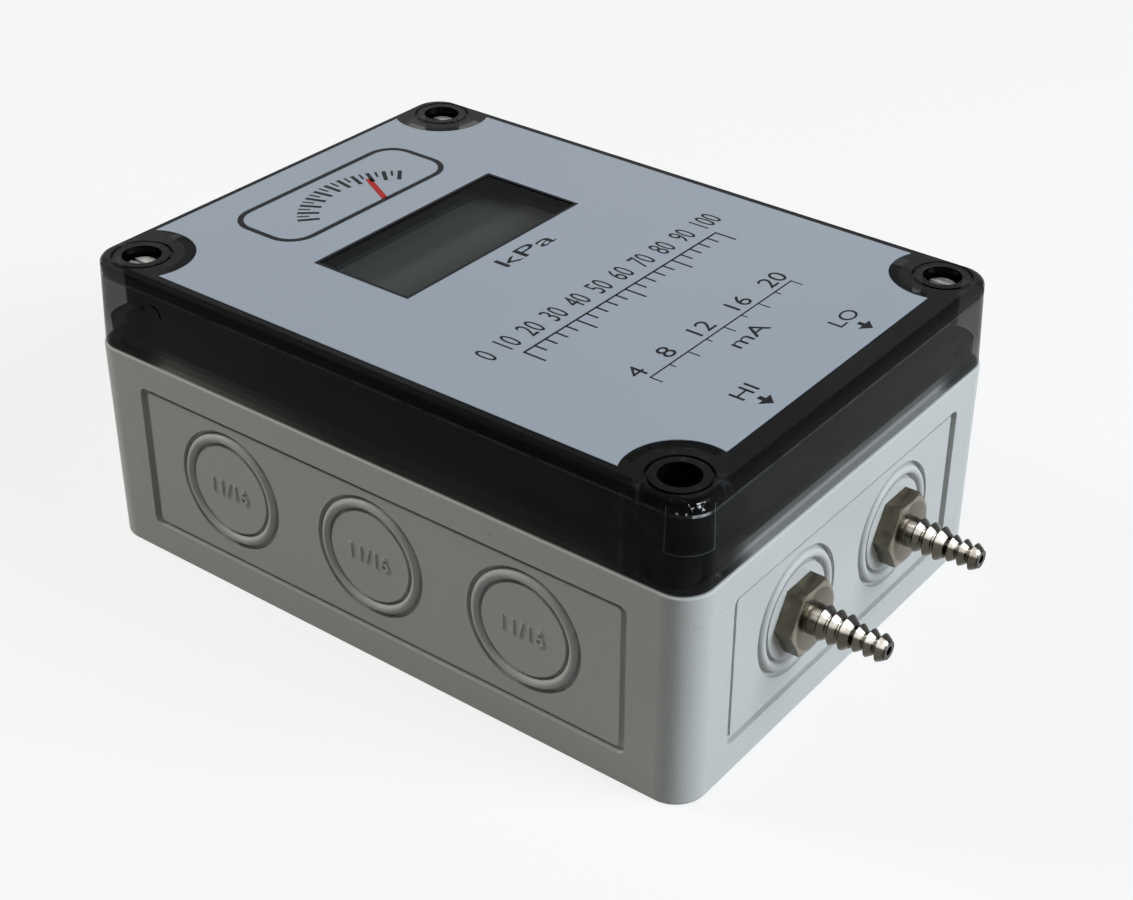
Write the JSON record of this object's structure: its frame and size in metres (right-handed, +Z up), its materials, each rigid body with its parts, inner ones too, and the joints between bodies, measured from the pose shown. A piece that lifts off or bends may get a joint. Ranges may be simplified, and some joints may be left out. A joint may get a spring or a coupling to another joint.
{
  "type": "differential pressure transmitter",
  "caption": "Grey wall-mounting box with a smoked lid, display window and printed face, and stepped hose barbs on one end for measuring pressure difference.",
  "frame": {"origin": "middle of the box's underside", "axes": "+X along the box towards the hose barbs, +Y across it, +Z up through the lid"},
  "size_m": [0.1467, 0.094, 0.0572],
  "materials": {
    "case_grey": "moulded, fine satin texture",
    "smoked_lid": "glossy, smoked and see-through",
    "black_rubber": "matt",
    "label_film": "printed polyester film, satin",
    "screw_steel": "turned and plated",
    "brass": "nickel-plated or plain brass",
    "silicone": "translucent soft tube",
    "board_green": "green solder mask",
    "black_plastic": "moulded",
    "sensor_body": "moulded white",
    "terminal_green": "moulded green",
    "trimmer_blue": "moulded blue",
    "display_glass": "polished",
    "ribbon_grey": "flexible"
  },
  "bodies": {
    "base": {"base_housing": "case_grey", "board_connector": "black_plastic", "board_screws": "screw_steel", "display_board": "board_green", "display_connector": "black_plastic", "display_frame": "black_plastic", "display_glass": "display_glass", "display_ribbon": "ribbon_grey", "display_screws": "screw_steel", "display_spacers": "brass", "main_board": "board_green", "port_high": "brass", "port_low": "brass", "port_nuts": "brass", "port_washers": "black_rubber", "pressure_sensor": "sensor_body", "spacer_nuts": "screw_steel", "span_trimmer": "trimmer_blue", "terminal_block": "terminal_green", "thread_inserts": "brass", "tube_high": "silicone", "tube_low": "silicone", "zero_trimmer": "trimmer_blue"},
    "lid_assembly": {"lid": "smoked_lid", "lid_gasket": "black_rubber", "face_label": "label_film"},
    "zero_rotor_body": {"zero_rotor": "brass"},
    "span_rotor_body": {"span_rotor": "brass"},
    "lid_screw_1_body": {"lid_screw_1": "screw_steel"},
    "lid_screw_2_body": {"lid_screw_2": "screw_steel"},
    "lid_screw_3_body": {"lid_screw_3": "screw_steel"},
    "lid_screw_4_body": {"lid_screw_4": "screw_steel"},
    "terminal_screw_1_body": {"terminal_screw_1": "screw_steel"},
    "terminal_screw_2_body": {"terminal_screw_2": "screw_steel"},
    "terminal_screw_3_body": {"terminal_screw_3": "screw_steel"},
    "terminal_screw_4_body": {"terminal_screw_4": "screw_steel"}
  },
  "joints": [
    {"name": "lid_lift", "type": "slide", "parent": "base", "child": "lid_assembly", "axis": [0, 0, 1], "range_m": [0, 0.06]},
    {"name": "lid_screw_1_turn", "type": "hinge", "parent": "lid_assembly", "child": "lid_screw_1_body", "pos_m": [0.0571, 0.0399, 0.0485], "axis": [0, 0, 1], "continuous": true},
    {"name": "lid_screw_2_turn", "type": "hinge", "parent": "lid_assembly", "child": "lid_screw_2_body", "pos_m": [-0.0571, 0.0399, 0.0485], "axis": [0, 0, 1], "continuous": true},
    {"name": "lid_screw_3_turn", "type": "hinge", "parent": "lid_assembly", "child": "lid_screw_3_body", "pos_m": [-0.0571, -0.0399, 0.0485], "axis": [0, 0, 1], "continuous": true},
    {"name": "lid_screw_4_turn", "type": "hinge", "parent": "lid_assembly", "child": "lid_screw_4_body", "pos_m": [0.0571, -0.0399, 0.0485], "axis": [0, 0, 1], "continuous": true},
    {"name": "terminal_screw_1_turn", "type": "hinge", "parent": "base", "child": "terminal_screw_1_body", "pos_m": [0.00854, -0.02342, 0.02], "axis": [0, 0, 1], "continuous": true},
    {"name": "terminal_screw_2_turn", "type": "hinge", "parent": "base", "child": "terminal_screw_2_body", "pos_m": [0.01362, -0.02342, 0.02], "axis": [0, 0, 1], "continuous": true},
    {"name": "terminal_screw_3_turn", "type": "hinge", "parent": "base", "child": "terminal_screw_3_body", "pos_m": [0.0187, -0.02342, 0.02], "axis": [0, 0, 1], "continuous": true},
    {"name": "terminal_screw_4_turn", "type": "hinge", "parent": "base", "child": "terminal_screw_4_body", "pos_m": [0.02378, -0.02342, 0.02], "axis": [0, 0, 1], "continuous": true},
    {"name": "zero_turn", "type": "hinge", "parent": "base", "child": "zero_rotor_body", "pos_m": [0.01075, 0.02325, 0.018], "axis": [0, 0, 1], "range_deg": [-135, 135]},
    {"name": "span_turn", "type": "hinge", "parent": "base", "child": "span_rotor_body", "pos_m": [0.02375, 0.02325, 0.018], "axis": [0, 0, 1], "range_deg": [-135, 135]}
  ]
}
